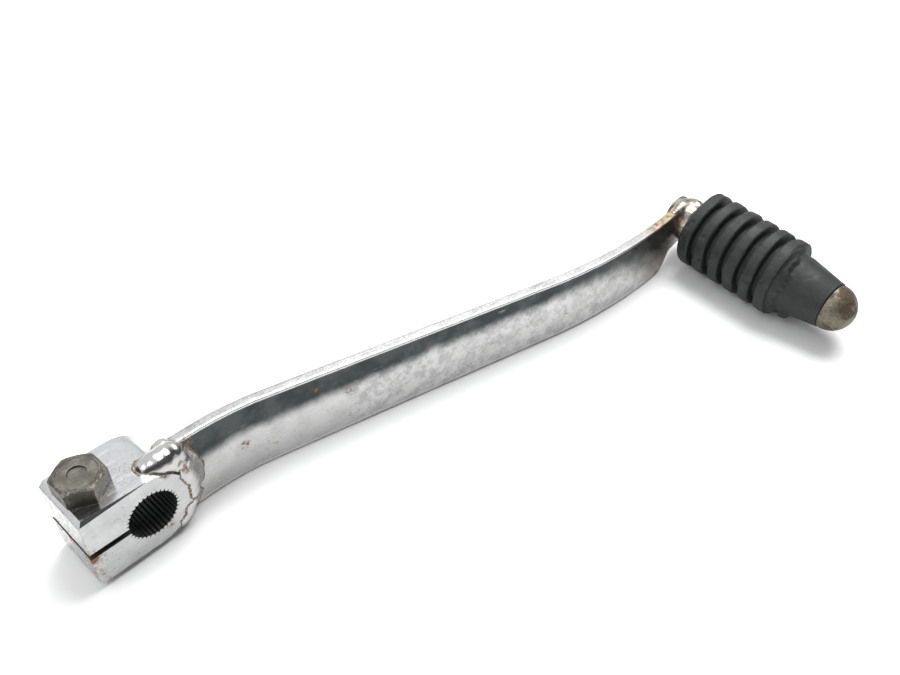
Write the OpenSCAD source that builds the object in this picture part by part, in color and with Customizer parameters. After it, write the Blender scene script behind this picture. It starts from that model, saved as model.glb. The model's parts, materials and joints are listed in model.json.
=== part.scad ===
// Gear shift lever for a motorcycle: a split clamp for a serrated 12 mm shaft, a flat bar welded to it,
// a round pin welded to the bar's tip and a ribbed rubber sleeve on the pin.
// Origin: middle of the clamp's bore. +X runs along the lever to its tip, +Y along the bore towards the
// engine, +Z up along the pinch bolt.

/* [Clamp] */
// Height of the clamp, over its flat faces
clamp_h = 19; // [18:0.5:22]
// Length of the clamp along the bore
clamp_w = 15.4; // [14:0.2:20]
// Distance from the bore's axis to the split end
clamp_reach = 14.6; // [14:0.2:18]
// Radius over the crests of the bore's serration
bore_r = 5.6; // [5.4:0.1:5.8]
// Depth of the serration's grooves
groove_depth = 0.6; // [0.4:0.1:0.7]
// Number of grooves round the bore
groove_count = 36; // [24:1:38]
// Width of the slit
slit_w = 1.5; // [1:0.1:2]
// How far the slit's middle lies below the bore's axis
slit_drop = 0.5; // [0:0.1:0.6]
// Chamfer along the split end's top edge
end_chamfer = 1.1; // [0.4:0.1:1.5]
// Chamfer on the outer top edge, at the split end, from where it fades towards the bore
outer_chamfer = 0.8; // [0.4:0.1:1.5]

/* [Pinch bolt] */
// Distance from the bore's axis to the bolt's axis
bolt_reach = 8.8; // [8.8:0.1:9.2]
// Radius of the bolt's shank
bolt_r = 3; // [2.8:0.1:3]
// Width across the flats of the head
head_flats = 10; // [9:0.5:10]
// Height of the head
head_h = 4.3; // [3.5:0.1:5]
// Length under the head
bolt_length = 18; // [14:1:18]
// Turn of the head when tight
head_turn = 31.5; // [0:0.5:60]

/* [Arm] */
// Thickness of the bar
bar_t = 3.2; // [2.6:0.2:4]
// Where the bar's outer face lies along the bore, at the clamp
bar_y = -4; // [-4.4:0.1:-3.6]
// Height of the top edge at the clamp
top_root = 10; // [9.5:0.1:10.5]
// Height of the top edge at the tip
top_tip = 5.1; // [4.8:0.1:5.4]
// Height of the lower edge
bottom_z = -10.6; // [-11:0.1:-10]
// Start of the first bend, along X
bend1_x = 15.3; // [14:0.1:17]
// Radius of the first bend, on the outer face
bend1_r = 66; // [60:1:75]
// Angle of the bar between its bends
bar_angle = 14; // [13:0.5:15]
// Start of the second bend, along X
bend2_x = 105.4; // [100:0.2:110]
// Radius of the second bend, on the outer face
bend2_r = 142; // [135:1:150]

/* [Peg] */
// Where the peg's axis crosses the plane of the clamp's outer face, along X
peg_x = 160.5; // [158:0.5:163]
// Height of the peg's axis in that plane
peg_z = 1.5; // [1:0.1:2]
// Angle by which the peg leans down, outwards
peg_droop = 3.5; // [2:0.5:5]
// Angle by which the peg leans towards the clamp
peg_lean = 3.4; // [2:0.2:5]
// Radius of the pin
pin_r = 5; // [4.8:0.1:5.2]
// Radius of the pin's domed head
head_dome_r = 6.1; // [5.8:0.1:6.4]

/* [Rubber] */
// Radius over the rings
ring_r = 10.5; // [9.5:0.1:11]
// Distance from one ring to the next
ring_pitch = 4.97; // [4.6:0.01:5.2]
// Width of a ring
ring_w = 3.2; // [2.8:0.1:3.6]
// Radius between the rings
core_r = 8; // [7.8:0.1:8.8]
// Number of rings
ring_count = 6; // [5:1:6]

/* [Hidden] */

eps = 0.01;
half_h = clamp_h / 2;
half_w = clamp_w / 2;
outer_y = -half_w;

// Clamp details
star_r = 5;
lower_chamfer = 0.7;
fade_x = 2;
bolt_y = 0.3;
clear_gap = 0.2;
thread_gap = 0.05;

// Bolt details
dimple_r = 2;
dimple_depth = 0.35;
point_h = 1;

// Arm details: the bar starts just clear of the clamp's round end
bar_root_x = half_h + 0.4;
bar_end_x = 165;
bend2_turn = 22;
tip_corner_r = 6;
tip_corner_x = 144.3;
neck_bottom_z = -5.4;
neck_fillet_r = 1.8;
bend1_end_x = bend1_x + bend1_r * sin(bar_angle);
bend1_end_y = bar_y - bend1_r * (1 - cos(bar_angle));
bend2_y = bend1_end_y - (bend2_x - bend1_end_x) * tan(bar_angle);
bend2_centre = [bend2_x + bend2_r * sin(bar_angle), bend2_y + bend2_r * cos(bar_angle)];

// Stations along the peg's axis, from the plane of the clamp's outer face
pin_start = 15.5;
rubber_start = 24.4;
rubber_end = 65.4;
head_gap = 0.2;
head_rim = 0.3;
nose_r = 8;
nose_tip_r = 6.3;
nose_flat = 3;
ring_corner_r = 0.9;
sleeve_gap = 0.06;
pin_gap = 0.1;

// Places the peg's pieces: their own +Z is the peg's axis, pointing outwards
module on_peg() {
  translate([peg_x, outer_y, peg_z])
    rotate([90 + peg_droop, 0, -peg_lean])
      children();
}

// The clamp without its bore, slit and bolt hole
module clamp_body() {
  difference() {
    union() {
      translate([-clamp_reach, outer_y, -half_h])
        cube([clamp_reach, clamp_w, clamp_h]);
      rotate([90, 0, 0])
        cylinder(r = half_h, h = clamp_w, center = true, $fn = 120);
    }
    // Chamfer along the split end's top edge
    translate([-clamp_reach + end_chamfer, 0, half_h])
      rotate([0, -45, 0])
        translate([-20, -20, 0])
          cube([40, 40, 10]);
    // Chamfer along the split end's lower edge
    translate([-clamp_reach + lower_chamfer, 0, -half_h])
      rotate([0, 45, 0])
        translate([-20, -20, -10])
          cube([40, 40, 10]);
    // Chamfer on the outer top edge, fading out near the bore
    translate([fade_x, outer_y, half_h])
      rotate([45, 0, 0])
        rotate([0, -atan(outer_chamfer / (clamp_reach + fade_x) / sqrt(2)), 0])
          translate([-40, -5, 0])
            cube([80, 10, 10]);
  }
}

// One outline with a V groove at every step round the bore
module serration() {
  step = 360 / groove_count;
  rotate([90, 0, 0])
    linear_extrude(height = clamp_w + 2, center = true)
      polygon([
        for (i = [0 : 2 * groove_count - 1])
          let (r = i % 2 == 0 ? bore_r + groove_depth : star_r)
            [r * cos(i * step / 2), r * sin(i * step / 2)]
      ]);
}

module clamp_boss() {
  color("silver")
    difference() {
      clamp_body();
      rotate([90, 0, 0])
        cylinder(r = bore_r, h = clamp_w + 2, center = true, $fn = 96);
      serration();
      // Slit from the split end into the bore
      translate([-clamp_reach - 1, outer_y - 1, -slit_drop - slit_w / 2])
        cube([clamp_reach + 1, clamp_w + 2, slit_w]);
      // Clearance hole in the upper jaw, threaded hole in the lower jaw
      translate([-bolt_reach, bolt_y, -slit_drop])
        cylinder(r = bolt_r + clear_gap, h = half_h + slit_drop + 1, $fn = 48);
      translate([-bolt_reach, bolt_y, -half_h - 1])
        cylinder(r = bolt_r + thread_gap, h = half_h + 1 - slit_drop, $fn = 48);
    }
}

module pinch_bolt() {
  color("dimgray")
    translate([-bolt_reach, bolt_y, half_h])
      difference() {
        union() {
          intersection() {
            rotate([0, 0, head_turn])
              cylinder(d = head_flats / cos(30), h = head_h, $fn = 6);
            // The cone that bevels the six corners
            cylinder(r1 = head_flats / 2 + head_h * 2, r2 = head_flats / 2 - 0.3, h = head_h, $fn = 96);
          }
          translate([0, 0, point_h - bolt_length])
            cylinder(r = bolt_r, h = bolt_length - point_h + eps, $fn = 48);
          translate([0, 0, -bolt_length])
            cylinder(r1 = bolt_r - point_h * 0.7, r2 = bolt_r, h = point_h, $fn = 48);
        }
        // Plain forging dimple in the head
        translate([0, 0, head_h - dimple_depth])
          cylinder(r = dimple_r, h = 1, $fn = 48);
      }
}

// A point at a distance from a centre, in a direction
function polar(centre, r, angle) = [centre[0] + r * cos(angle), centre[1] + r * sin(angle)];

// The bar's course, seen from above: straight, bend, straight, bend, in steps of one degree
module bar_course() {
  c1 = [bend1_x, bar_y - bend1_r];
  c2 = bend2_centre;
  a1 = 90 - bar_angle;
  a2 = -90 - bar_angle;
  a3 = a2 + bend2_turn;
  polygon(concat(
    [[bar_root_x, bar_y]],
    [for (a = [90 : -1 : a1]) polar(c1, bend1_r, a)],
    [for (a = [a2 : 1 : a3]) polar(c2, bend2_r, a)],
    [for (a = [a3 : -1 : a2]) polar(c2, bend2_r - bar_t, a)],
    [for (a = [a1 : 1 : 90]) polar(c1, bend1_r + bar_t, a)],
    [[bar_root_x, bar_y + bar_t]]
  ));
}

// The bar's side view: tapered, with a round lower corner and a narrow neck at the tip
module bar_side() {
  difference() {
    polygon([[0, top_root + 0.3], [bar_end_x, top_tip - 0.1], [bar_end_x, bottom_z], [0, bottom_z]]);
    difference() {
      translate([tip_corner_x, bottom_z - 1])
        square([40, neck_bottom_z - bottom_z + 1]);
      translate([tip_corner_x, bottom_z + tip_corner_r])
        circle(r = tip_corner_r, $fn = 96);
      difference() {
        translate([tip_corner_x, neck_bottom_z - neck_fillet_r])
          square([tip_corner_r + neck_fillet_r - 0.3, neck_fillet_r + 1]);
        translate([tip_corner_x + tip_corner_r - 0.3 + neck_fillet_r, neck_bottom_z - neck_fillet_r])
          circle(r = neck_fillet_r, $fn = 48);
      }
    }
  }
}

module bar_solid() {
  intersection() {
    translate([0, 0, -20])
      linear_extrude(height = 40)
        bar_course();
    translate([0, 10, 0])
      rotate([90, 0, 0])
        linear_extrude(height = 60)
          bar_side();
  }
}

module arm_bar() {
  color("silver")
    difference() {
      bar_solid();
      // The tip is ground hollow to meet the pin
      on_peg()
        cylinder(r = pin_r + pin_gap, h = 40, $fn = 96);
      translate([peg_x - 2, -50, -25])
        cube([50, 60, 50]);
    }
}

// A bead is a row of round lumps of weld metal: each is [x, y, z, radius]
module bead(lumps) {
  for (p = lumps)
    translate([p[0], p[1], p[2]])
      sphere(r = p[3], $fn = 40);
}

// A lump at an angle round the clamp's round end
function round_end(angle, reach, y, r) = [reach * cos(angle), y, reach * sin(angle), r];

top_lumps = [[4, -3.5, 8.6, 2.7], [7.3, -3.1, 8.5, 3], [10.5, -2.5, 8.2, 2.8]];
outer_lumps = concat(
  [for (a = [34 : -14 : -8]) round_end(a, 11.3, -4.4, 3.2)],
  [for (a = [-27, -40, -50]) round_end(a, 11.2, -4.4, 2.9 + (a + 27) * 0.03)]
);
inner_lumps = [for (a = [36 : -16 : -44]) round_end(a, 10.9, 0.2, 2.4)];

module weld_clamp_top() {
  color("gainsboro")
    difference() {
      bead(top_lumps);
      clamp_body();
      bar_solid();
    }
}

module weld_clamp_outer() {
  color("gainsboro")
    difference() {
      bead(outer_lumps);
      clamp_body();
      bar_solid();
      bead(top_lumps);
      // Level with the clamp's outer face
      translate([0, outer_y - 10, -20])
        cube([30, 10, 40]);
      // The bar's hidden side belongs to the inner bead
      translate([0, bar_y + bar_t / 2, -20])
        cube([30, 10, 40]);
    }
}

module weld_clamp_inner() {
  color("gainsboro")
    difference() {
      bead(inner_lumps);
      clamp_body();
      bar_solid();
      bead(top_lumps);
      translate([0, bar_y + bar_t / 2 - 10, -20])
        cube([30, 10, 40]);
    }
}

module peg_pin() {
  color("rosybrown")
    on_peg() {
      translate([0, 0, pin_start])
        cylinder(r = pin_r, h = rubber_end + head_gap - pin_start + eps, $fn = 96);
      translate([0, 0, rubber_end + head_gap]) {
        cylinder(r = head_dome_r, h = head_rim, $fn = 96);
        translate([0, 0, head_rim])
          intersection() {
            sphere(r = head_dome_r, $fn = 96);
            translate([-10, -10, 0])
              cube([20, 20, 10]);
          }
      }
    }
}

module weld_peg() {
  color("gainsboro")
    difference() {
      on_peg() {
        for (a = [0 : 45 : 315])
          rotate([0, 0, a])
            translate([4.2, 0, 17.4])
              sphere(r = 2.4, $fn = 32);
        for (a = [22.5 : 45 : 337.5])
          rotate([0, 0, a])
            translate([4.1, 0, 20.4])
              sphere(r = 2.2, $fn = 32);
      }
      on_peg()
        cylinder(r = pin_r, h = 40, $fn = 96);
      bar_solid();
    }
}

// Half of the sleeve's section: radius along X, distance along the peg's axis along Y
module ring_section() {
  flat = ring_w / 2 - ring_corner_r;
  translate([pin_r + sleeve_gap, -ring_w / 2])
    square([ring_r - ring_corner_r - pin_r - sleeve_gap, ring_w]);
  translate([pin_r + sleeve_gap, -flat])
    square([ring_r - pin_r - sleeve_gap, 2 * flat]);
  for (side = [-1, 1])
    translate([ring_r - ring_corner_r, side * flat])
      circle(r = ring_corner_r, $fn = 32);
}

module peg_rubber() {
  inner_r = pin_r + sleeve_gap;
  rings_end = rubber_start + (ring_count - 1) * ring_pitch + ring_w;
  color("#303030")
    on_peg()
      rotate_extrude($fn = 120) {
        for (i = [0 : ring_count - 1])
          translate([0, rubber_start + ring_w / 2 + i * ring_pitch])
            ring_section();
        translate([inner_r, rubber_start + ring_w / 2])
          square([core_r - inner_r, (ring_count - 1) * ring_pitch]);
        polygon([[inner_r, rings_end - eps], [nose_r, rings_end - eps], [nose_r, rings_end + nose_flat],
          [nose_tip_r, rubber_end], [inner_r, rubber_end]]);
      }
}

clamp_boss();
pinch_bolt();
arm_bar();
weld_clamp_top();
weld_clamp_outer();
weld_clamp_inner();
peg_pin();
weld_peg();
peg_rubber();
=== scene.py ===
"""Looks for a motorcycle gear shift lever: worn chrome, weld metal, a rusty pin and a ribbed rubber sleeve.

Lengths in this script are millimetres in the part's frame and are turned into metres by MM when a mesh
is made. +X runs from the clamp to the tip, +Y along the bore away from the viewer, +Z up.
"""
import json
import math

import bmesh
import bpy
from mathutils import Matrix, Vector, noise


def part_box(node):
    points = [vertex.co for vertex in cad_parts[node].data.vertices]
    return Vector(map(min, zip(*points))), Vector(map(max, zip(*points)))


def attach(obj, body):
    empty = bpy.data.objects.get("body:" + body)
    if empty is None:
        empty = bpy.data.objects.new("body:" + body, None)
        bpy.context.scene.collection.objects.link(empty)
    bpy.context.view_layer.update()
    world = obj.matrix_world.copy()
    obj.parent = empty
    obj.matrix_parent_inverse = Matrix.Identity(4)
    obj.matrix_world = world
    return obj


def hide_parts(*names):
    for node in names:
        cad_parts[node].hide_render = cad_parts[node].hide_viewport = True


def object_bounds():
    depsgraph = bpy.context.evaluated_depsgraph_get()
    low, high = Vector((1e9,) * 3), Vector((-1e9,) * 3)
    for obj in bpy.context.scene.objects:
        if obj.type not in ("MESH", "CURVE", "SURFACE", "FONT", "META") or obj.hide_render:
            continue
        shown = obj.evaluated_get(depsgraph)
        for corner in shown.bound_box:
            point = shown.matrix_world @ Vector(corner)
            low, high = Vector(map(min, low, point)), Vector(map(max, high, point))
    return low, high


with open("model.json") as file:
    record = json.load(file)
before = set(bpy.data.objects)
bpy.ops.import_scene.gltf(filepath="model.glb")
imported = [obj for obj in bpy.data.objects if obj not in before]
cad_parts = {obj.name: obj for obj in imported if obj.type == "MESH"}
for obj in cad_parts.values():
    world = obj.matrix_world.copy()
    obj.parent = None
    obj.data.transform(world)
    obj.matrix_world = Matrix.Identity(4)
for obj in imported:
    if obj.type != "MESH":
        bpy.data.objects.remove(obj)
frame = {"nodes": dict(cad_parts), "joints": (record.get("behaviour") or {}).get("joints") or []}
cad_lo, cad_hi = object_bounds()

MM = 0.001
NODES = frame["nodes"]
JOINTS = {j["name"]: j for j in frame["joints"]}


def box_mm(node):
    """Lowest and highest corner of a CAD node, in millimetres."""
    lo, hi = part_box(node)
    return Vector(lo) / MM, Vector(hi) / MM


# ---------------------------------------------------------------- mesh helpers

def make_object(name, verts, faces):
    """A smooth-shaded mesh object from points in millimetres."""
    mesh = bpy.data.meshes.new(name)
    mesh.from_pydata([Vector(v) * MM for v in verts], [], faces)
    mesh.validate()
    mesh.polygons.foreach_set("use_smooth", [True] * len(mesh.polygons))
    obj = bpy.data.objects.new(name, mesh)
    bpy.context.scene.collection.objects.link(obj)
    return obj


def skin(name, rings, capped=True):
    """Joins closed rings of equal length into one skin, with its ends closed unless told otherwise."""
    n = len(rings[0])
    verts = [p for ring in rings for p in ring]
    faces = []
    for i in range(len(rings) - 1):
        for j in range(n):
            a, b = i * n + j, i * n + (j + 1) % n
            faces.append((a, b, b + n, a + n))
    if capped:
        last = (len(rings) - 1) * n
        faces.append(tuple(reversed(range(n))))
        faces.append(tuple(range(last, last + n)))
    obj = make_object(name, verts, faces)
    bm = bmesh.new()
    bm.from_mesh(obj.data)
    bmesh.ops.recalc_face_normals(bm, faces=bm.faces)
    bm.to_mesh(obj.data)
    bm.free()
    return obj


def arc(cx, cy, r, a0, a1, steps):
    """Points on an arc, angles in degrees, both ends included."""
    out = []
    for i in range(steps + 1):
        a = math.radians(a0 + (a1 - a0) * i / steps)
        out.append((cx + r * math.cos(a), cy + r * math.sin(a)))
    return out


def wander(p, size, seed=0.0):
    """Smooth noise from -1 to 1 that changes over about `size` millimetres."""
    return noise.noise(Vector(p) / size + Vector((seed, seed * 1.7, -seed)))


def smoothstep(a, b, x):
    t = min(1.0, max(0.0, (x - a) / (b - a)))
    return t * t * (3 - 2 * t)


# ---------------------------------------------------------------- shader helpers

class Shader:
    """A material under construction: every method adds one node and returns its output."""

    def __init__(self, name):
        self.mat = bpy.data.materials.new(name)
        self.mat.use_nodes = True
        self.tree = self.mat.node_tree
        self.bsdf = self.tree.nodes["Principled BSDF"]
        self.place = self.node("ShaderNodeTexCoord").outputs["Object"]

    def node(self, kind, settings=None, **inputs):
        node = self.tree.nodes.new(kind)
        for key, value in (settings or {}).items():
            setattr(node, key, value)
        for key, value in inputs.items():
            self.feed(node.inputs[key.replace("_", " ")], value)
        return node

    def feed(self, socket, value):
        if isinstance(value, bpy.types.NodeSocket):
            self.tree.links.new(value, socket)
        elif isinstance(value, (tuple, list)) and len(value) == 3 and socket.type == "RGBA":
            socket.default_value = (*value, 1.0)
        else:
            socket.default_value = value

    def stretched(self, scale, turn=(0, 0, 0)):
        """Object coordinates scaled unevenly, for scratches and drawn-out stains."""
        return self.node("ShaderNodeMapping", Vector=self.place, Scale=scale, Rotation=turn).outputs[0]

    def noise(self, size_mm, detail=3.0, rough=0.5, where=None, distort=0.0):
        return self.node(
            "ShaderNodeTexNoise", Vector=where or self.place, Scale=1 / (size_mm * MM),
            Detail=detail, Roughness=rough, Distortion=distort,
        ).outputs["Fac"]

    def spots(self, size_mm):
        """Distance to the nearest of many scattered points, in cells."""
        return self.node(
            "ShaderNodeTexVoronoi", Vector=self.place, Scale=1 / (size_mm * MM), Randomness=1.0,
        ).outputs["Distance"]

    def ramp(self, value, lo, hi, out_lo=0.0, out_hi=1.0):
        """Maps a range smoothly onto another."""
        return self.node(
            "ShaderNodeMapRange", {"interpolation_type": "SMOOTHSTEP"},
            Value=value, From_Min=lo, From_Max=hi, To_Min=out_lo, To_Max=out_hi,
        ).outputs[0]

    def math(self, op, a, b=0.0):
        node = self.tree.nodes.new("ShaderNodeMath")
        node.operation = op
        self.feed(node.inputs[0], a)
        self.feed(node.inputs[1], b)
        return node.outputs[0]

    def times(self, *values):
        out = values[0]
        for v in values[1:]:
            out = self.math("MULTIPLY", out, v)
        return out

    def axis(self, name):
        """One object coordinate, in millimetres."""
        node = self.node("ShaderNodeSeparateXYZ", Vector=self.place)
        return self.math("DIVIDE", node.outputs[name], MM)

    def mix(self, fac, a, b):
        node = self.tree.nodes.new("ShaderNodeMix")
        node.data_type = "RGBA"
        self.feed(node.inputs[0], fac)
        self.feed(node.inputs[6], a)
        self.feed(node.inputs[7], b)
        return node.outputs[2]

    def blend(self, fac, a, b):
        node = self.tree.nodes.new("ShaderNodeMix")
        node.data_type = "FLOAT"
        self.feed(node.inputs[0], fac)
        self.feed(node.inputs[2], a)
        self.feed(node.inputs[3], b)
        return node.outputs[0]

    def bump(self, height, depth_mm, strength=1.0, normal=None):
        node = self.node("ShaderNodeBump", Height=height, Distance=depth_mm * MM, Strength=strength)
        if normal is not None:
            self.feed(node.inputs["Normal"], normal)
        return node.outputs[0]

    def crevice(self, reach_mm):
        """1 in the open, falling to 0 deep in a corner between surfaces."""
        return self.node(
            "ShaderNodeAmbientOcclusion", {"samples": 6}, Distance=reach_mm * MM,
        ).outputs["AO"]

    def normal(self, name):
        """One part of the surface's true normal."""
        geometry = self.node("ShaderNodeNewGeometry")
        return self.node("ShaderNodeSeparateXYZ", Vector=geometry.outputs["True Normal"]).outputs[name]

    def distance(self, centre):
        """Distance in metres from a place given in millimetres."""
        gap = self.node("ShaderNodeVectorMath", {"operation": "DISTANCE"})
        self.feed(gap.inputs[0], self.place)
        gap.inputs[1].default_value = Vector(centre) * MM
        return gap.outputs["Value"]

    def off_axis(self, **centre):
        """Distance in millimetres from a line through centre, which names two of X, Y and Z."""
        squares = [
            self.math("POWER", self.math("SUBTRACT", self.axis(name), at), 2.0) for name, at in centre.items()
        ]
        return self.math("SQRT", self.math("ADD", *squares))

    def near(self, centre, radius_mm):
        """1 near a place, fading to 0 at the radius."""
        return self.ramp(self.distance(centre), radius_mm * MM * 0.35, radius_mm * MM, 1.0, 0.0)

    def largest(self, *values):
        out = values[0]
        for v in values[1:]:
            out = self.math("MAXIMUM", out, v)
        return out

    def finish(self, color, rough, metallic, normal=None):
        self.feed(self.bsdf.inputs["Base Color"], color)
        self.feed(self.bsdf.inputs["Roughness"], rough)
        self.feed(self.bsdf.inputs["Metallic"], metallic)
        if normal is not None:
            self.feed(self.bsdf.inputs["Normal"], normal)
        return self.mat


RUST_DARK = (0.085, 0.035, 0.016)
RUST_LIGHT = (0.36, 0.17, 0.055)
# Dark browns for pits, grime and the painted shade in corners
GRIME_AND_SHADE_DARK = (0.045, 0.036, 0.026)
GRIME_AND_SHADE_BROWN = (0.19, 0.125, 0.068)
PALE_EDGE_HIGHLIGHT = (0.76, 0.76, 0.75)
BAND_DARK = (0.03, 0.036, 0.036)
OIL_AND_SHADE_BLACK = (0.026, 0.029, 0.03)


def rust_color(s):
    return s.mix(s.ramp(s.noise(0.5, 4, 0.7), 0.35, 0.65), RUST_DARK, RUST_LIGHT)


def chrome(name, tint, rust_places=(), specks=0.0, dark_band=None, oil_and_shade=None, mottled=None,
           crevice_mm=0.9, pits=0.5, worn_edge_highlight=None, stain=None, toes=(), toe_marks=False):
    """Worn chrome plate: cloudy stains, fine scratches, pits, rust specks, and grime with painted shade in
    the corners.

    dark_band, oily, mottled, worn_edge_highlight and stain are functions of the shader. The first four give a
    strength from 0 to 1, and stain gives pairs of a tinge and a strength. rust_places are (centre,
    radius, threshold), and toes are (centre, radius), where brown lines follow a weld's foot.
    """
    s = Shader(name)
    cloud = s.noise(6, 4, 0.6)
    fine = s.noise(0.8, 5, 0.65)
    scratch = s.noise(1, 2, 0.6, s.stretched((0.12, 1.0, 2.2), (0.3, 0.1, 0.5)))
    color = s.mix(s.ramp(cloud, 0.35, 0.7), tint, tuple(c * 0.86 for c in tint))
    color = s.mix(s.times(s.ramp(fine, 0.45, 0.75), 0.35), color, tuple(c * 0.7 for c in tint))
    rough = s.ramp(cloud, 0.3, 0.75, 0.1, 0.24)
    if mottled is not None:
        worn = mottled(s)
        blotch = s.ramp(s.noise(2.6, 5, 0.68, distort=0.5), 0.4, 0.62)
        color = s.mix(s.times(worn, blotch, 0.5), color, tuple(c * 0.55 for c in tint))
        crisp = s.ramp(s.noise(1.1, 6, 0.75), 0.5, 0.56)
        color = s.mix(s.times(worn, crisp, 0.34), color, tuple(c * 0.6 for c in tint))
        pale = s.ramp(s.noise(3.2, 5, 0.7), 0.47, 0.56)
        color = s.mix(s.times(worn, pale, 0.55), color, tuple(c * 1.22 for c in tint))
        rough = s.math("ADD", rough, s.times(worn, 0.16))
    rough = s.math("ADD", rough, s.times(s.ramp(scratch, 0.5, 0.72), 0.16))
    # The dark band is a painted reflection
    if dark_band is not None:
        band = dark_band(s)
        color = s.mix(band, color, BAND_DARK)
        rough = s.blend(band, rough, 0.18)
    # Worn corners with a painted highlight: pale colour and a duller finish
    if worn_edge_highlight is not None:
        edge = worn_edge_highlight(s)
        color = s.mix(s.times(edge, s.ramp(fine, 0.3, 0.6, 1.0, 0.75)), color, PALE_EDGE_HIGHLIGHT)
        rough = s.blend(edge, rough, 0.46)
    for tinge, strength in (stain(s) if stain is not None else ()):
        color = s.mix(strength, color, tinge)
        rough = s.math("ADD", rough, s.times(strength, 0.2))
    # Pits in the plating
    pit = s.times(s.ramp(s.spots(1.1), 0.1, 0.22, 1.0, 0.0), s.ramp(s.noise(4, 3), 0.5, 0.62), pits)
    color = s.mix(pit, color, GRIME_AND_SHADE_DARK)
    # Rust: specks that are scattered, and patches at known places
    scattered = s.ramp(s.noise(14, 2), 0.48, 0.56)
    speck = s.times(s.ramp(s.spots(5.5), 0.04, 0.13, 1.0, 0.0), scattered, specks)
    patches = [s.times(s.near(c, r), s.ramp(s.noise(0.9, 5, 0.75), start, start + 0.12))
               for c, r, start in rust_places]
    # Grime and painted shade: darker brown in the corners that the occlusion node finds
    caked = s.ramp(s.noise(1.1, 4, 0.7), 0.36, 0.56)
    grime_and_shade = s.times(s.ramp(s.crevice(crevice_mm), 0.25, 0.62, 1.0, 0.0), caked)
    # Burnt brown lines along the toes of the welds
    lines = [s.times(s.near(c, r), s.ramp(s.crevice(1.5), 0.55, 0.86, 1.0, 0.0),
                     s.ramp(s.noise(0.9, 4, 0.7), 0.4, 0.5)) for c, r in toes]
    if lines:
        grime_and_shade = s.largest(grime_and_shade, *lines)
    if toe_marks:
        marks = s.node("ShaderNodeAttribute", {"attribute_name": "toe"}).outputs["Fac"]
        ragged = s.ramp(s.noise(1.0, 5, 0.75), 0.34, 0.56, 0.0, 0.55)
        grime_and_shade = s.largest(grime_and_shade, s.ramp(s.math("MULTIPLY", marks, s.math("ADD", ragged, 0.45)), 0.5, 0.75))
    rust = s.largest(speck, *patches)
    color = s.mix(rust, color, rust_color(s))
    grime_and_shade_color = s.mix(s.ramp(s.noise(0.7, 3), 0.35, 0.65), GRIME_AND_SHADE_DARK, GRIME_AND_SHADE_BROWN)
    color = s.mix(s.times(grime_and_shade, 0.88), color, grime_and_shade_color)
    spoiled = s.largest(rust, s.times(grime_and_shade, 0.8))
    # Oil and painted shade: near black in the bore and the slit
    if oil_and_shade is not None:
        black = oil_and_shade(s)
        oil_and_shade_color = s.mix(s.ramp(s.noise(0.6, 4, 0.7), 0.62, 0.7), OIL_AND_SHADE_BLACK, RUST_LIGHT)
        color = s.mix(black, color, oil_and_shade_color)
        spoiled = s.largest(spoiled, s.times(black, 0.7))
    rough = s.blend(spoiled, rough, 0.75)
    metallic = s.blend(spoiled, 1.0, 0.1)
    normal = s.bump(s.noise(9, 2), 0.12, 0.5)
    normal = s.bump(fine, 0.012, 0.6, normal)
    normal = s.bump(s.math("SUBTRACT", scratch, pit), 0.01, 0.5, normal)
    return s.finish(color, rough, metallic, normal)


# ---------------------------------------------------------------- the bar

bar_lo, bar_hi = box_mm("arm_bar")
# The bar's thickness, and where its outer face lies at the root
BAR_T = 3.2
BAR_Y = -4.0
BEND1_X, BEND1_R = 15.3, 66.0
BEND2_X, BEND2_R = 105.4, 142.0
BAR_ANGLE = math.radians(14)
TIP_CORNER_X, TIP_CORNER_R = 144.3, 6.0
NECK_Z, NECK_FILLET = -5.4, 1.8
TOP_TIP_X, TOP_TIP_Z = 165.0, 5.0
BAR_END_X = 157.6
BAR_EDGE_R = 0.5

# The dark stretch: its lower boundary's height, then how it sags and drops away towards the tip
BAND_Z = 2.1
BAND_SAG_X, BAND_SAG = (114, 132), 1.6
BAND_DROP_X, BAND_DROP = (128, 148), 13.0
BAND_FADE_X = (122, 139)

bend1_end = (
    BEND1_X + BEND1_R * math.sin(BAR_ANGLE),
    BAR_Y - BEND1_R * (1 - math.cos(BAR_ANGLE)),
)
bend2_y = bend1_end[1] - (BEND2_X - bend1_end[0]) * math.tan(BAR_ANGLE)
bend2_centre = (BEND2_X + BEND2_R * math.sin(BAR_ANGLE), bend2_y + BEND2_R * math.cos(BAR_ANGLE))


def course(x):
    """Where the bar's outer face lies at x, and the angle by which the bar heads outwards there."""
    if x <= BEND1_X:
        return BAR_Y, 0.0
    if x <= bend1_end[0]:
        a = math.asin((x - BEND1_X) / BEND1_R)
        return BAR_Y - BEND1_R * (1 - math.cos(a)), a
    if x <= BEND2_X:
        return bend1_end[1] - (x - bend1_end[0]) * math.tan(BAR_ANGLE), BAR_ANGLE
    a = math.asin((bend2_centre[0] - x) / BEND2_R)
    return bend2_centre[1] - BEND2_R * math.cos(a), a


def lower_edge():
    """The lower edge from root to end, as (x, z): straight, round corner, fillet, neck."""
    bottom = bar_lo.z
    corner_z = bottom + TIP_CORNER_R
    fillet_z = NECK_Z - NECK_FILLET
    reach = TIP_CORNER_R + NECK_FILLET
    drop = fillet_z - corner_z
    fillet_x = TIP_CORNER_X + math.sqrt(reach ** 2 - drop ** 2)
    turn = math.degrees(math.asin(-drop / reach))
    steps = 150
    points = [(bar_lo.x + (TIP_CORNER_X - bar_lo.x) * i / steps, bottom) for i in range(steps)]
    points += arc(TIP_CORNER_X, corner_z, TIP_CORNER_R, -90, -turn, 14)
    points += arc(fillet_x, fillet_z, NECK_FILLET, 180 - turn, 90, 6)[1:]
    points += [(x, NECK_Z) for x in (153, 154.5, 156, BAR_END_X)]
    return points


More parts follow.
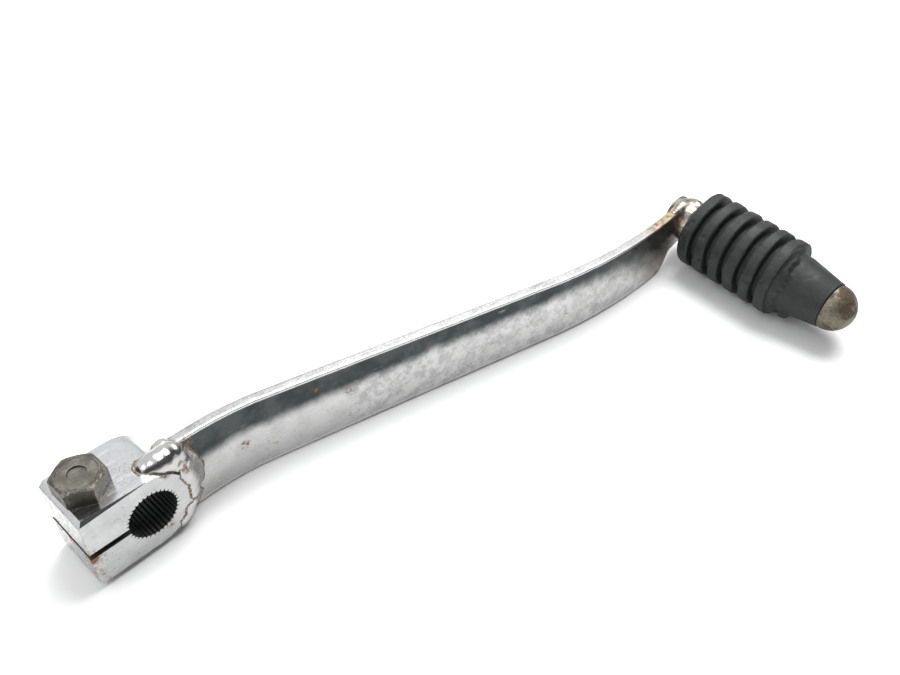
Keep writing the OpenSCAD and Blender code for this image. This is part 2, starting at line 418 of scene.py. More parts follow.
def upper_edge(x):
    """The height of the bar's upper edge at x: it falls evenly from root to tip."""
    at_origin = bar_hi.z + 0.3
    slope = (TOP_TIP_Z - at_origin) / TOP_TIP_X
    return at_origin + slope * x


def bar_section(z0, z1, edge_r):
    """A section's outline as (depth behind the outer face, z): rounded corners and a crowned outer face."""
    h = z1 - z0
    face = []
    for i in range(25):
        f = i / 24
        crown = 0.5 * smoothstep(0.5, 1.05, f) ** 1.5 + 0.3 * smoothstep(0.3, -0.1, f)
        face.append((crown, z0 + edge_r + (h - 2 * edge_r) * f))
    top = face[-1][0]
    low = face[0][0]
    outline = face
    outline += arc(top + edge_r, z1 - edge_r, edge_r, 180, 90, 5)[1:]
    outline += [(top + edge_r + (BAR_T - edge_r - top - edge_r) * i / 4, z1) for i in (1, 2, 3)]
    outline += arc(BAR_T - edge_r, z1 - edge_r, edge_r, 90, 0, 4)
    outline += [(BAR_T, z1 - edge_r - (h - 2 * edge_r) * i / 8) for i in range(1, 8)]
    outline += arc(BAR_T - edge_r, z0 + edge_r, edge_r, 0, -90, 4)
    outline += [(BAR_T - edge_r - (BAR_T - edge_r - low - edge_r) * i / 4, z0) for i in (1, 2, 3)]
    outline += arc(low + edge_r, z0 + edge_r, edge_r, -90, -180, 5)[:-1]
    return outline


def build_bar():
    rings = []
    for x, z0 in lower_edge():
        y, a = course(x)
        z1 = upper_edge(x)
        ring = []
        for depth, z in bar_section(z0, z1, BAR_EDGE_R):
            p = Vector((x + depth * math.sin(a), y + depth * math.cos(a), z))
            dent = 0.035 * wander(p, 14, 3.0) + 0.012 * wander(p, 4, 8.0)
            edge = smoothstep(2.2, 0.2, min(z - z0, z1 - z))
            dent += edge * 0.06 * wander(p, 2.6, 5.0)
            side = 1 if depth < BAR_T / 2 else -1
            p += Vector((math.sin(a), math.cos(a), 0)) * dent * side
            p.z += edge * 0.05 * wander(p, 3.5, 11.0)
            ring.append(p)
        rings.append(ring)
    return skin("bar", rings)


bar = build_bar()
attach(bar, "lever")
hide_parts("arm_bar")


def bar_band(s):
    """The dark stretch below the bar's top edge, which stands for a reflection.

    Its soft lower boundary keeps its height and drops at the tip. It is fixed to the bar.
    """
    x, z = s.axis("X"), s.axis("Z")
    waver = s.math("ADD", s.times(s.math("SUBTRACT", s.noise(12, 3, 0.6), 0.5), 2.2),
                   s.times(s.math("SUBTRACT", s.noise(2.2, 4, 0.65), 0.5), 1.3))
    edge = s.math("SUBTRACT", s.math("SUBTRACT", BAND_Z, s.ramp(x, *BAND_SAG_X, 0.0, BAND_SAG)),
                  s.ramp(x, *BAND_DROP_X, 0.0, BAND_DROP))
    soft = s.ramp(x, 100, 140, 1.9, 4.0)
    above = s.math("SUBTRACT", s.math("ADD", z, waver), edge)
    low = s.ramp(s.math("DIVIDE", above, soft), -1.0, 1.0)
    shy = s.ramp(s.math("SUBTRACT", top_edge(s), z), 0.3, 0.6)
    bright = s.ramp(s.noise(1.3, 2, 0.5, s.stretched((0.05, 1, 1))), 0.68, 0.78, 1.0, 0.75)
    patchy = s.ramp(s.noise(6, 4, 0.6), 0.35, 0.6, 0.94, 1.0)
    outer = s.ramp(s.normal("Y"), -0.75, -0.45, 1.0, 0.0)
    fade = s.ramp(x, *BAND_FADE_X, 1.0, 0.4)
    return s.times(low, shy, bright, patchy, outer, fade, 0.98)


def top_edge(s):
    """upper_edge as a shader value."""
    return s.math("SUBTRACT", upper_edge(0), s.times(s.axis("X"), upper_edge(0) - upper_edge(1)))


def bar_edges(s):
    """The plating is dull and worn on the outer face's corners, with a pale painted highlight there."""
    gap = s.math("SUBTRACT", top_edge(s), s.axis("Z"))
    upper = s.times(s.ramp(gap, 0.45, 0.75, 1.0, 0.0), s.ramp(s.normal("Z"), 0.93, 0.99, 1.0, 0.0))
    low = s.ramp(s.math("SUBTRACT", s.axis("Z"), bar_lo.z), 0.5, 1.3, 0.8, 0.0)
    return s.times(s.largest(upper, low), s.ramp(s.axis("X"), 132, 146, 1.0, 0.15))


def bar_stain(s):
    """The ground upper edge, and golden brown from the weld's heat on the bar's last stretch."""
    near_tip = s.ramp(s.math("ADD", s.axis("X"), s.times(s.noise(3, 4, 0.6), 8)), 139, 151)
    upward = s.ramp(s.normal("Z"), 0.3, 0.9, 0.3, 0.95)
    tinge = s.mix(s.ramp(s.noise(1.4, 5, 0.7), 0.4, 0.62), (0.43, 0.33, 0.19), (0.2, 0.13, 0.07))
    ground = s.mix(s.ramp(s.noise(0.5, 5, 0.75), 0.42, 0.6), (0.4, 0.4, 0.395), (0.27, 0.27, 0.265))
    flat = s.times(s.ramp(s.normal("Z"), 0.95, 0.99), s.ramp(s.noise(5, 3), 0.3, 0.6, 0.75, 1.0))
    brown = s.times(near_tip, upward, s.ramp(s.noise(1.9, 5, 0.7), 0.4, 0.55, 0.35, 1.0))
    return (ground, flat), (tinge, brown)


def bar_mottle(s):
    """The bar's plating is smooth near the clamp and blotchy from the first bend's end to the tip."""
    return s.ramp(s.math("ADD", s.axis("X"), s.times(s.noise(5, 3), 6)), 52, 56, 0.15, 1.0)


bar_mat = chrome(
    "worn_chrome_bar", (0.52, 0.52, 0.515), mottled=bar_mottle,
    rust_places=[((12.5, -4, 8.8), 2.6, 0.5), ((146, -28, -9), 4, 0.52), ((157, -27, 0), 4, 0.45),
                 ((50, -12, 1.2), 2.4, 0.46), ((25, -5, -1.5), 1.7, 0.46), ((31.5, -7, -5.5), 1.6, 0.48),
                 ((80, -19.6, -1.5), 1.4, 0.47), ((87, -21, 1.0), 1.3, 0.48), ((110, -25, -4.0), 1.3, 0.5),
                 ((118, -26, 0.0), 1.4, 0.48), ((131, -27, -1.0), 1.6, 0.48), ((137, -27, 3.6), 1.8, 0.47)],
    specks=0.9, dark_band=bar_band, worn_edge_highlight=bar_edges, stain=bar_stain, toes=[((14, -4, 0), 11.0)],
)
bar.data.materials.append(bar_mat)


# ---------------------------------------------------------------- the clamp and the bolt

def soften(obj, width_mm, angle_deg=28, segments=3):
    """Welds a CAD node's split vertices and rounds its sharp edges, by modifiers."""
    weld = obj.modifiers.new("join", "WELD")
    weld.merge_threshold = 1e-6
    bevel = obj.modifiers.new("worn_edges", "BEVEL")
    bevel.width = width_mm * MM
    bevel.segments = segments
    bevel.limit_method = "ANGLE"
    bevel.angle_limit = math.radians(angle_deg)
    bevel.harden_normals = True


clamp = NODES["clamp_boss"]
bolt = NODES["pinch_bolt"]
soften(clamp, 0.14)
soften(bolt, 0.13)

# The bore's radius over its grooves; the slit's distance below the bore's axis, its width and its start
BORE_ROOT_R = 6.2
SLIT_DROP, SLIT_W = 0.5, 1.5
SLIT_X = (-3.0, -4.0)
# The top weld's lumps as (x, y, z, radius); the first ones are its ridge
RIDGE_LUMPS = 5
TOP_LUMPS = [(3.2, -3.9, 8.3, 2.7), (5.0, -4.1, 8.3, 3.2), (7.0, -4.0, 8.1, 3.3), (8.8, -3.6, 7.8, 3.0),
             (10.2, -3.2, 7.6, 2.4), (8.2, -5.8, 6.9, 1.9), (10.0, -5.6, 6.0, 1.7)]


def bore_oil_and_shade(s):
    """Black oil and dust with painted shade inside the bore, which runs along Y through the origin, and
    painted shade in the slit.
    """
    wall = s.ramp(s.math("ABSOLUTE", s.normal("Y")), 0.3, 0.8, 1.0, 0.0)
    bore = s.times(s.ramp(s.off_axis(X=0.0, Z=0.0), BORE_ROOT_R + 0.05, BORE_ROOT_R + 0.25, 1.0, 0.0), wall)
    off_middle = s.math("ABSOLUTE", s.math("ADD", s.axis("Z"), SLIT_DROP))
    slit = s.times(s.ramp(off_middle, SLIT_W / 2 + 0.02, SLIT_W / 2 + 0.12, 1.0, 0.0),
                   s.ramp(s.axis("X"), *SLIT_X), s.ramp(s.math("ABSOLUTE", s.normal("Z")), 0.5, 0.9))
    return s.times(s.largest(bore, s.times(slit, 0.95)), 0.97)


def clamp_stain(s):
    """The dulled outer face, marks beside the bolt and on the jaws' ends, and the top weld's burnt foot."""
    beside = s.near((-1.6, -2.5, 9.4), 4.6)
    marks = s.ramp(s.noise(0.55, 5, 0.75), 0.5, 0.6)
    ends = s.ramp(s.math("ADD", s.axis("X"), s.times(s.noise(1.6, 4, 0.7), 1.6)), -14.0, -13.4, 0.75, 0.0)
    dull = s.times(ends, s.ramp(s.noise(1.0, 5, 0.7), 0.4, 0.6, 0.35, 1.0))
    tinge = s.mix(s.ramp(s.noise(1.2, 3), 0.4, 0.6), (0.2, 0.17, 0.12), (0.33, 0.32, 0.3))
    gaps = [s.math("SUBTRACT", s.math("DIVIDE", s.distance(lump[:3]), MM), lump[3])
            for lump in TOP_LUMPS[:RIDGE_LUMPS]]
    gap = gaps[0]
    for other in gaps[1:]:
        gap = s.math("MINIMUM", gap, other)
    gap = s.math("ADD", gap, s.times(s.math("SUBTRACT", s.noise(0.9, 4, 0.7), 0.5), 1.1))
    toe = s.times(s.ramp(s.math("ABSOLUTE", s.math("SUBTRACT", gap, 0.2)), 0.15, 0.5, 1.0, 0.0),
                  s.ramp(s.noise(1.3, 3), 0.36, 0.5, 0.25, 0.95))
    burnt = s.mix(s.ramp(s.noise(0.6, 4, 0.7), 0.4, 0.6), (0.045, 0.032, 0.02), (0.18, 0.125, 0.065))
    cloudy = s.ramp(s.noise(4, 4, 0.6), 0.35, 0.65, 0.45, 0.7)
    outer = s.times(s.ramp(s.normal("Y"), -0.9, -0.6, 1.0, 0.0), cloudy)
    marked = s.largest(s.times(beside, marks, 0.55), dull)
    return ((0.4, 0.4, 0.4), outer), (tinge, marked), (burnt, toe)


clamp_mat = chrome(
    "worn_chrome_clamp", (0.6, 0.605, 0.61), oil_and_shade=bore_oil_and_shade,
    rust_places=[((-14.5, -6.5, -1.5), 4.0, 0.47), ((-14.6, 0, -1.0), 3.2, 0.46),
                 ((-14.4, 5, -1.0), 3.4, 0.48),
                 ((-14.6, -6.5, -9.0), 3.4, 0.55), ((-14.2, -7.6, -1.3), 2.0, 0.3),
                 ((-14.6, -7.7, -6.5), 2.4, 0.47), ((-13.0, -7.7, -10.3), 2.2, 0.5),
                 ((-14.6, -1, -8.8), 3.0, 0.56), ((3.0, -7.7, -5.6), 1.8, 0.5)],
    specks=0.3, crevice_mm=1.0, stain=clamp_stain, toes=[((5.5, -4.5, 8.6), 7.5), ((11, -6, 0), 8.0)],
)
clamp.data.materials.clear()
clamp.data.materials.append(clamp_mat)


bolt_axis = Vector(JOINTS["bolt_turn"]["pos_m"]) / MM
bolt_seat = box_mm("clamp_boss")[1].z
HEAD_RIM_R = 4.7


def bolt_steel():
    """Dull browned steel, with painted shade on the head's sides and in its crevices, darker at its foot and
    in a ring inside its rim.
    """
    s = Shader("worn_bolt")
    cloud = s.noise(3.2, 5, 0.65)
    fine = s.noise(0.5, 5, 0.7)
    color = s.mix(s.ramp(cloud, 0.35, 0.65), (0.1, 0.095, 0.079), (0.19, 0.182, 0.156))
    color = s.mix(s.times(s.ramp(fine, 0.5, 0.75), 0.7), color, (0.06, 0.054, 0.043))
    across = s.off_axis(X=bolt_axis.x, Y=bolt_axis.y)
    rim = s.times(s.ramp(across, HEAD_RIM_R - 0.35, HEAD_RIM_R - 0.1), s.ramp(s.normal("Z"), 0.2, 0.6))
    off_ring = s.math("ABSOLUTE", s.math("SUBTRACT", across, HEAD_RIM_R - 0.55))
    ring = s.times(s.ramp(off_ring, 0.06, 0.2, 1.0, 0.0),
                   s.ramp(s.normal("Z"), 0.8, 0.95), s.ramp(s.noise(1.7, 3), 0.4, 0.55))
    color = s.mix(s.times(ring, 0.8), color, (0.035, 0.03, 0.022))
    # Painted shade: the head's sides are darker than its top
    sides = s.ramp(s.normal("Z"), 0.3, 0.7, 1.0, 0.0)
    color = s.mix(s.times(sides, 0.75), color, (0.04, 0.037, 0.029))
    foot = s.times(sides, s.ramp(s.axis("Z"), bolt_seat + 0.3, bolt_seat + 2.2, 1.0, 0.0))
    color = s.mix(s.times(foot, s.ramp(fine, 0.3, 0.6, 0.4, 0.9)), color, (0.03, 0.023, 0.016))
    streaks = s.times(sides, s.ramp(s.noise(0.8, 4, 0.7, s.stretched((1.6, 1.6, 0.5))), 0.48, 0.66))
    color = s.mix(s.times(streaks, 0.7), color, (0.035, 0.026, 0.018))
    color = s.mix(s.times(rim, s.ramp(fine, 0.3, 0.6), 0.75), color, (0.04, 0.034, 0.026))
    # Painted shade in the crevices
    grime_and_shade = s.ramp(s.crevice(1.4), 0.3, 0.85, 1.0, 0.0)
    color = s.mix(s.times(grime_and_shade, 0.8), color, GRIME_AND_SHADE_DARK)
    rough = s.ramp(fine, 0.3, 0.75, 0.3, 0.62)
    normal = s.bump(s.noise(1.6, 3, 0.5), 0.02, 0.4)
    normal = s.bump(fine, 0.02, 0.6, normal)
    return s.finish(color, rough, s.blend(grime_and_shade, 0.85, 0.2), normal)


bolt.data.materials.clear()
bolt.data.materials.append(bolt_steel())


# ---------------------------------------------------------------- the welds

WELD_VOXEL = 0.22


def weld(name, node, lumps, seed, melt=14, waves=0.16):
    """Weld metal: round lumps run together, smoothed `melt` times and rippled by `waves` millimetres."""
    bm = bmesh.new()
    for x, y, z, r in lumps:
        bmesh.ops.create_icosphere(
            bm, subdivisions=3, radius=r * MM, matrix=Matrix.Translation(Vector((x, y, z)) * MM)
        )
    mesh = bpy.data.meshes.new(name)
    bm.to_mesh(mesh)
    bm.free()
    obj = bpy.data.objects.new(name, mesh)
    bpy.context.scene.collection.objects.link(obj)
    remesh = obj.modifiers.new("run_together", "REMESH")
    remesh.mode = "VOXEL"
    remesh.voxel_size = WELD_VOXEL * MM
    flow = obj.modifiers.new("flow", "SMOOTH")
    flow.factor, flow.iterations = 0.5, melt
    dg = bpy.context.evaluated_depsgraph_get()
    solid = bpy.data.meshes.new_from_object(obj.evaluated_get(dg))
    obj.modifiers.clear()
    obj.data = solid
    moved = []
    for v, n in zip([v.co.copy() for v in solid.vertices], [v.normal.copy() for v in solid.vertices]):
        p = v / MM
        push = waves * wander(p, 2.6, seed) + 0.15 * waves * wander(p, 0.9, seed + 4)
        moved.extend(v + n * push * MM)
    solid.vertices.foreach_set("co", moved)
    solid.update()
    solid.polygons.foreach_set("use_smooth", [True] * len(solid.polygons))
    return weld_piece(obj, node)


def weld_piece(obj, node):
    """Attaches a weld to the lever's body and hides the CAD node that it stands for."""
    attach(obj, "lever")
    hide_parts(node)
    return obj


# The clamp's round end, the lap weld's outer radius, and the angle of the crevice between its lobes
CLAMP_ROUND_R = 9.5
LAP_R = 14.9
CREVICE_AT = -21.0


def lap_weld(name, node, first, last, seed):
    """The weld round the clamp's end: a lapping skin from the clamp's face out to the bar's face.

    It is two flat lobes with a crevice between them, and its toes wander.
    """
    clamp_face = box_mm("clamp_boss")[0].y
    rings = []
    toes = []
    steps = 150
    for i in range(steps + 1):
        f = i / steps
        deg = first + (last - first) * f
        a = math.radians(deg)
        spot = Vector((14 * math.cos(a), 0, 14 * math.sin(a)))
        closing = smoothstep(0, 0.07, f) * smoothstep(1, 0.93, f)
        split = smoothstep(5.5, 0.0, abs(deg - CREVICE_AT))
        inner = CLAMP_ROUND_R - 0.9 + 0.75 * wander(spot, 3.2, seed) + 0.3 * wander(spot, 1.1, seed + 2)
        outer = LAP_R + 0.7 * wander(spot, 4.0, seed + 5) + 0.3 * wander(spot, 1.3, seed + 7)
        outer -= 1.6 * split
        inner += 0.7 * split + 1.4 * (1 - closing)
        outer = inner + (outer - inner) * (0.35 + 0.65 * closing)
        ring = []
        front = 16
        for k in range(front + 1):
            t = k / front
            r = inner + (outer - inner) * t
            y = clamp_face - 0.02 + (BAR_Y - clamp_face) * smoothstep(0.12, 1.05, t)
            crown = math.sin(math.pi * t) ** 0.8 * (0.45 * closing + 0.1)
            middling = math.sin(math.pi * t)
            ripple = 0.12 * wander((r, deg / 6, 3), 3.0, seed + 9)
            ripple += 0.02 * wander((r, deg / 2.2, 0), 1.2, seed)
            y -= (crown + ripple * middling) * (1 - 0.85 * split) - 0.55 * split * middling
            ring.append((r * math.cos(a), y, r * math.sin(a)))
            toes.append(max(smoothstep(0.16, 0.04, t), smoothstep(0.86, 0.96, t), 0.9 * split))
        toes += [1.0] * 4
        for r, y in ((outer + 0.1, BAR_Y + 1.2), (outer - 1.5, BAR_Y + 1.5), (inner, BAR_Y + 1.5),
                     (inner - 0.1, clamp_face + 1.2)):
            ring.append((r * math.cos(a), y, r * math.sin(a)))
        rings.append(ring)
    obj = skin(name, rings)
    obj.data.attributes.new("toe", "FLOAT", "POINT").data.foreach_set("value", toes)
    return weld_piece(obj, node)


def round_end(angle, reach, y, r):
    """A lump at an angle in degrees round the bore's axis."""
    a = math.radians(angle)
    return reach * math.cos(a), y, reach * math.sin(a), r


INNER_LUMPS = [round_end(a, 10.9, 0.2, 2.4) for a in range(36, -45, -10)]

weld_top = weld("weld_top", "weld_clamp_top", TOP_LUMPS, seed=1.0, melt=30, waves=0.13)
weld_outer = lap_weld("weld_outer", "weld_clamp_outer", 40, -62, seed=2.0)
weld_inner = weld("weld_inner", "weld_clamp_inner", INNER_LUMPS, seed=3.0)

weld_mat = chrome("chromed_weld_metal", (0.52, 0.51, 0.5), specks=0.4, crevice_mm=1.3, pits=0.3,
                  rust_places=[((13, -5, -4), 2.2, 0.42), ((9.5, -7, 6), 1.8, 0.46)],
                  toes=[((8, -5, 3), 22.0)], toe_marks=True)
for piece in (weld_top, weld_outer, weld_inner):
    piece.data.materials.append(weld_mat)


# ---------------------------------------------------------------- the peg

sleeve_joint = JOINTS["sleeve_turn"]
peg_origin = Vector(sleeve_joint["pos_m"]) / MM
peg_axis = Vector(sleeve_joint["axis"]).normalized()
peg_up = (Vector((0, 0, 1)) - peg_axis * peg_axis.z).normalized()
peg_side = peg_axis.cross(peg_up)


def on_peg(station, radius, angle):
    """A point round the peg: distance along its axis, radius, and angle from straight up, in radians."""
    out = peg_up * math.cos(angle) + peg_side * math.sin(angle)
    return peg_origin + peg_axis * station + out * radius


PIN_R = 5.0
# The rubber: its rings, its ends as stations along the pin, its nose, and where it is torn, in degrees
RING_R, CORE_R = 10.5, 8.0
RING_W, RING_PITCH, RINGS = 3.2, 4.97, 6
RUBBER_START, RUBBER_END = 24.4, 65.4
NOSE_R, NOSE_TIP_R, NOSE_FLAT = 8.0, 6.3, 3.0
TORN_SIDE, FLAP_ANGLE = 85.0, 141.0
LAST_RING_END = RUBBER_START + (RINGS - 1) * RING_PITCH + RING_W


def sleeve_profile():
    """The sleeve's outline as (station, radius), from the bore at its start round to the bore at its end."""
    corner = 0.65
    bore = PIN_R + 0.06
    points = [(RUBBER_START, bore)]
    points += [(RUBBER_START, bore + (RING_R - corner - bore) * i / 6) for i in range(1, 6)]
    for ring in range(RINGS):
        a = RUBBER_START + ring * RING_PITCH
        b = a + RING_W
        if ring:
            points += [(a, CORE_R + 0.25), (a, RING_R - corner - 0.5)]
        points += arc(a + corner, RING_R - corner, corner, 180, 90, 5)
        points += [(a + RING_W * f, RING_R) for f in (0.35, 0.5, 0.65)]
        points += arc(b - corner, RING_R - corner, corner, 90, 0, 5)
        if ring < RINGS - 1:
            root = 0.25
            points += [(b, RING_R - corner - 0.5), (b, CORE_R + root)]
            points += arc(b + root, CORE_R + root, root, 180, 270, 3)[1:]
            points += [(b + (RING_PITCH - RING_W) / 2, CORE_R)]
            points += arc(a + RING_PITCH - root, CORE_R + root, root, 270, 360, 3)[:-1]
    end = LAST_RING_END
    points += [(end + 0.05, 9.2), (end + 0.15, 8.5)] + arc(end + 0.75, NOSE_R + 0.5, 0.5, 180, 270, 4)
    points += [(end + NOSE_FLAT * f, NOSE_R) for f in (0.35, 0.45, 0.55, 0.65, 0.75, 0.85, 0.95)]
    steps = 24
    start = end + NOSE_FLAT
    for i in range(1, steps):
        f = i / steps
        points.append((start + (RUBBER_END - 0.3 - start) * f, NOSE_R + (NOSE_TIP_R - NOSE_R) * f))
    points += arc(RUBBER_END - 0.35, NOSE_TIP_R - 0.3, 0.35, 75, 0, 4)
    points += [(RUBBER_END, 5.6), (RUBBER_END, bore)]
    return points


def torn_collar(station, angle):
    """How far torn rubber stands out of the nose behind the last ring, with a flap underneath."""
    past = station - LAST_RING_END
    if past < -0.2 or past > 6.5:
        return 0.0
    spot = Vector((3 * math.cos(angle), 3 * math.sin(angle), 0))
    facing = smoothstep(115, 60, abs(math.degrees(angle) - TORN_SIDE))
    reach = (2.6 + 1.6 * wander(spot, 1.3, 31.0) + 0.9 * wander(spot, 0.45, 37.0)) * facing
    collar = smoothstep(reach, reach - 0.9, past) * facing * smoothstep(-0.2, 0.3, past)
    slope = smoothstep(3.2, -0.2, past) * (0.7 + 0.5 * wander(spot, 0.8, 41.0))
    flap = smoothstep(13, 5, abs(math.degrees(angle) - FLAP_ANGLE)) * smoothstep(1.6, 0.6, abs(past - 4.2))
    return (0.6 + 1.1 * max(0.0, slope)) * collar + 1.3 * flap


def build_sleeve():
    """The rubber turned round the pin, with uneven rings, nicks in their rims and a torn nose."""
    around = 200
    rings = []
    for station, radius in sleeve_profile():
        ring = []
        for j in range(around):
            a = 2 * math.pi * j / around
            p = on_peg(station, radius, a)
            r, s = radius, station
            if radius > PIN_R + 0.3:
                outside = smoothstep(6.0, 8.0, radius)
                r += outside * (0.16 * wander(p, 5.5, 2.0) + 0.06 * wander(p, 1.4, 6.0))
                s += smoothstep(8.2, 10.4, radius) * 0.42 * wander(p, 7.0, 9.0)
                nick = smoothstep(0.42, 0.62, wander(p, 1.9, 21.0))
                r -= nick * smoothstep(RING_R - 1.0, RING_R, radius) * 0.35
                r += torn_collar(station, a)
            ring.append(on_peg(s, r, a))
        rings.append(ring)
    return skin("ribbed_sleeve", rings, capped=False)


sleeve = build_sleeve()
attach(sleeve, "sleeve")
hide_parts("peg_rubber")


def rubber():
    """Black rubber with grey dust, scuffs and painted shade in its corners."""
    s = Shader("black_rubber_worn")
    cloud = s.noise(5, 4, 0.6)
    fine = s.noise(0.45, 5, 0.7)
    color = s.mix(s.ramp(cloud, 0.35, 0.7), (0.01, 0.0115, 0.0113), (0.018, 0.02, 0.0195))
    dust = s.times(s.ramp(fine, 0.48, 0.75), s.ramp(s.noise(3, 3), 0.4, 0.65), 0.4)
    color = s.mix(dust, color, (0.08, 0.08, 0.076))
    scuff = s.ramp(s.noise(2.2, 5, 0.7, s.stretched((1.0, 0.45, 1.0))), 0.54, 0.68)
    color = s.mix(s.times(scuff, 0.35), color, (0.055, 0.056, 0.054))
    # Painted shade: near black in the grooves and corners
    grime_and_shade = s.ramp(s.crevice(1.3), 0.15, 0.7, 1.0, 0.0)
    color = s.mix(s.times(grime_and_shade, 0.6), color, (0.006, 0.006, 0.006))
    rough = s.math("ADD", s.ramp(cloud, 0.3, 0.7, 0.52, 0.7), s.times(grime_and_shade, 0.2))
    s.bsdf.inputs["Specular IOR Level"].default_value = 0.42
    normal = s.bump(s.noise(1.8, 5, 0.7), 0.2, 0.6)
    normal = s.bump(fine, 0.05, 0.7, normal)
    return s.finish(color, rough, 0.0, normal)


sleeve.data.materials.append(rubber())


def rusty_pin():
    """Bare dull steel under patches of brown rust."""
    s = Shader("rusty_pin_steel")
    cloud = s.noise(5.5, 5, 0.65, distort=0.4)
    fine = s.noise(0.6, 5, 0.7)
    rust = s.ramp(s.math("ADD", cloud, s.times(s.math("SUBTRACT", fine, 0.5), 0.25)), 0.44, 0.54, 1.0, 0.0)
    bare = s.mix(s.ramp(fine, 0.4, 0.7), (0.19, 0.175, 0.132), (0.12, 0.103, 0.074))
    brown = s.mix(s.ramp(fine, 0.35, 0.65), (0.052, 0.034, 0.021), (0.1, 0.07, 0.042))
    color = s.mix(rust, bare, brown)
    rough = s.blend(rust, s.ramp(fine, 0.3, 0.7, 0.42, 0.58), 0.66)
    normal = s.bump(s.noise(1.4, 5, 0.7), 0.12, 0.6)
    normal = s.bump(fine, 0.04, 0.6, normal)
    return s.finish(color, rough, s.blend(rust, 0.85, 0.35), normal)


pin = NODES["peg_pin"]
pin.data.materials.clear()
pin.data.materials.append(rusty_pin())

# The pin's weld: two rounds of lumps about the pin, then a tail along the bar's top edge and one lump below
PEG_LUMPS = []
for i in range(8):
    p = on_peg(18.6 + 0.5 * math.sin(i * 2.1), 3.1, 2 * math.pi * (i + 0.2) / 8)
    PEG_LUMPS.append((*p, 2.9 + 0.35 * math.sin(i * 1.9)))
for i in range(7):
    p = on_peg(21.0 + 0.3 * math.sin(i * 1.7), 3.3, 2 * math.pi * (i + 0.6) / 7)
    PEG_LUMPS.append((*p, 2.6 + 0.3 * math.sin(i * 2.3)))
for x, z, r in ((157.6, 4.4, 2.3), (155.9, 4.5, 1.7), (154.3, 4.7, 1.3), (152.9, 4.9, 1.0),
                (157.0, -3.4, 2.2)):
    PEG_LUMPS.append((x, course(x)[0] + 1.5, z, r))
weld_peg = weld("weld_pin", "weld_peg", PEG_LUMPS, seed=5.0, melt=60, waves=0.3)
weld_peg.data.materials.append(chrome(
    "pin_weld_metal", (0.34, 0.31, 0.265), specks=1.0, crevice_mm=1.6, mottled=lambda s: 1.0,
    rust_places=[((155, -27, 3), 3.2, 0.48), ((157, -29, -2), 3.6, 0.45)], toes=[((157, -27, 0), 12.0)],
))


# ---------------------------------------------------------------- floor, light and camera

def resting_plane():
    """The plane that the lever rests on: the face of its convex hull under its centre of mass."""
    steel, rubber_density = 7.85, 1.2
    total, weight = Vector(), 0.0
    bm = bmesh.new()
    for name, obj in NODES.items():
        part = bmesh.new()
        part.from_mesh(obj.data)
        for v in part.verts:
            bm.verts.new(v.co)
        bmesh.ops.remove_doubles(part, verts=part.verts, dist=1e-7)
        w = abs(part.calc_volume()) * (rubber_density if name == "peg_rubber" else steel)
        area = sum(f.calc_area() for f in part.faces)
        middle = sum((f.calc_center_median() * f.calc_area() for f in part.faces), Vector()) / area
        total += middle * w
        weight += w
        part.free()
    centre = total / weight
    hull = bmesh.ops.convex_hull(bm, input=bm.verts)
    for face in {g for g in hull["geom"] if isinstance(g, bmesh.types.BMFace)}:
        n = face.normal
        if n.z > -0.9:
            continue
        a, b, c = (v.co for v in face.verts[:3])
        inside = True
        for p, q in ((a, b), (b, c), (c, a)):
            side = (q.x - p.x) * (centre.y - p.y) - (q.y - p.y) * (centre.x - p.x)
            inside = inside and side <= 1e-12
        if inside:
            point, normal = a.copy(), -n.copy()
            bm.free()
            return point, normal
    bm.free()
    return Vector((0, 0, cad_lo.z)), Vector((0, 0, 1))


rest_point, rest_normal = resting_plane()
FLOOR_SIZE = 6.0
middle = (cad_lo + cad_hi) / 2
drop = (middle - rest_point).dot(rest_normal)
floor = make_object(
    "floor", [(-0.5, -0.5, 0), (0.5, -0.5, 0), (0.5, 0.5, 0), (-0.5, 0.5, 0)], [(0, 1, 2, 3)],
)
floor.scale = (FLOOR_SIZE / MM,) * 3
floor.rotation_mode = "QUATERNION"
floor.rotation_quaternion = rest_normal.to_track_quat("Z", "Y")
floor.location = middle - rest_normal * drop


def floor_paper():
    s = Shader("white_paper")
    color = s.mix(s.noise(0.6, 3), (0.86, 0.86, 0.855), (0.9, 0.9, 0.895))
    return s.finish(color, s.ramp(s.noise(30, 2), 0.3, 0.7, 0.7, 0.8), 0.0)


floor.data.materials.append(floor_paper())


def area_light(name, where, target, size, watts):
    """A white rectangular light, placed and sized in metres."""
    data = bpy.data.lights.new(name, "AREA")
    data.shape = "RECTANGLE"
    data.size, data.size_y = size
    data.energy = watts
    light = bpy.data.objects.new(name, data)
    light.location = where
    light.rotation_mode = "QUATERNION"
    light.rotation_quaternion = (Vector(target) - Vector(where)).to_track_quat("-Z", "Y")
    bpy.context.scene.collection.objects.link(light)


area_light("window", (0.46, 0.07, 0.83), middle, (0.72, 0.55), 10.8)
area_light("fill", (-0.32, 0.02, 0.5), (-0.02, 0.03, 0), (0.3, 0.3), 0.8)


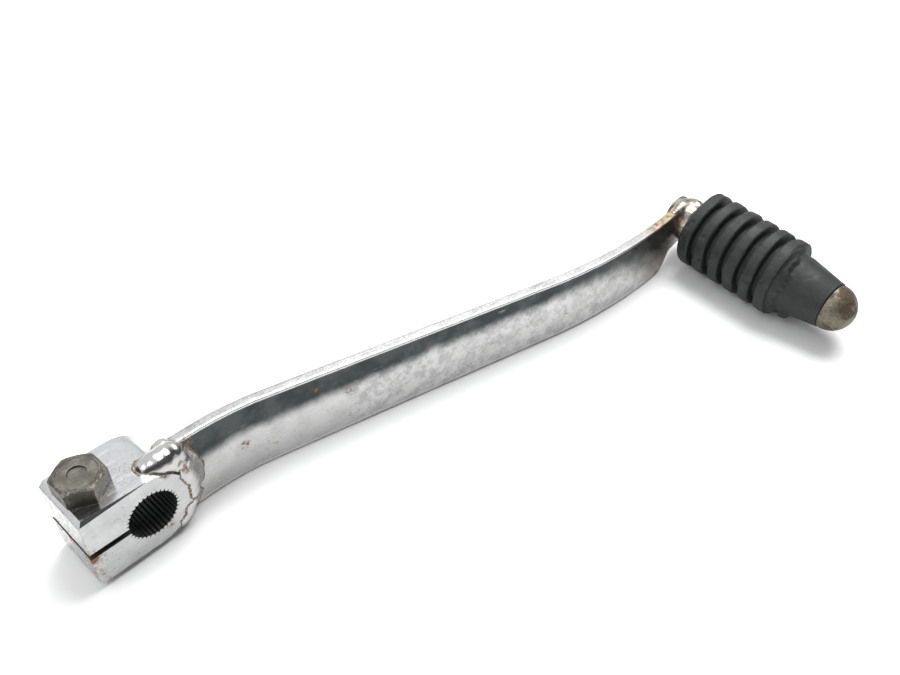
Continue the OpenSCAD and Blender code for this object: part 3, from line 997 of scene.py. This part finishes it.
def studio_world():
    """A room that is bright behind the lever and dark on the viewer's side, above a pale horizon."""
    world = bpy.data.worlds.new("studio")
    world.use_nodes = True
    tree = world.node_tree
    coord = tree.nodes.new("ShaderNodeTexCoord")
    lean = tree.nodes.new("ShaderNodeVectorMath")
    lean.operation = "DOT_PRODUCT"
    tree.links.new(coord.outputs["Generated"], lean.inputs[0])
    lean.inputs[1].default_value = Vector((-0.25, 0.8, 0.55)).normalized()
    ramp = tree.nodes.new("ShaderNodeValToRGB")
    tree.links.new(lean.outputs["Value"], ramp.inputs[0])
    ramp.color_ramp.interpolation = "EASE"
    first, last = ramp.color_ramp.elements
    first.position, first.color = 0.0, (0.1, 0.105, 0.11, 1)
    last.position, last.color = 0.55, (1.1, 1.11, 1.13, 1)
    height = tree.nodes.new("ShaderNodeSeparateXYZ")
    tree.links.new(coord.outputs["Generated"], height.inputs[0])
    low = tree.nodes.new("ShaderNodeMapRange")
    low.interpolation_type = "SMOOTHSTEP"
    tree.links.new(height.outputs["Z"], low.inputs["Value"])
    for socket, value in (("From Min", 0.06), ("From Max", 0.22), ("To Min", 1.0), ("To Max", 0.0)):
        low.inputs[socket].default_value = value
    blend = tree.nodes.new("ShaderNodeMix")
    blend.data_type = "RGBA"
    tree.links.new(low.outputs[0], blend.inputs[0])
    tree.links.new(ramp.outputs[0], blend.inputs[6])
    blend.inputs[7].default_value = (0.82, 0.825, 0.83, 1)
    background = tree.nodes["Background"]
    tree.links.new(blend.outputs[2], background.inputs["Color"])
    bpy.context.scene.world = world


studio_world()

CAMERA_AT = Vector((-45.78, -141.12, 162.90)) * MM
CAMERA_AZIMUTH, CAMERA_ELEVATION, CAMERA_ROLL = -44.6, 42.33, -1.11
CAMERA_LENS, SENSOR_WIDTH = 40.0, 36.0


def camera():
    """The camera, turned by its azimuth and elevation and then rolled about its line of sight."""
    a, e, r = (math.radians(v) for v in (CAMERA_AZIMUTH, CAMERA_ELEVATION, CAMERA_ROLL))
    forward = Vector((-math.sin(a) * math.cos(e), math.cos(a) * math.cos(e), -math.sin(e)))
    right = Vector((math.cos(a), math.sin(a), 0))
    up = right.cross(forward)
    x = right * math.cos(r) + up * math.sin(r)
    y = up * math.cos(r) - right * math.sin(r)
    data = bpy.data.cameras.new("camera")
    data.lens, data.sensor_width = CAMERA_LENS, SENSOR_WIDTH
    data.clip_start, data.clip_end = 0.01, 20
    obj = bpy.data.objects.new("camera", data)
    obj.matrix_world = Matrix.Translation(CAMERA_AT) @ Matrix((x, y, -forward)).transposed().to_4x4()
    bpy.context.scene.collection.objects.link(obj)
    bpy.context.scene.camera = obj


camera()
bpy.context.scene.view_settings.view_transform = "Standard"
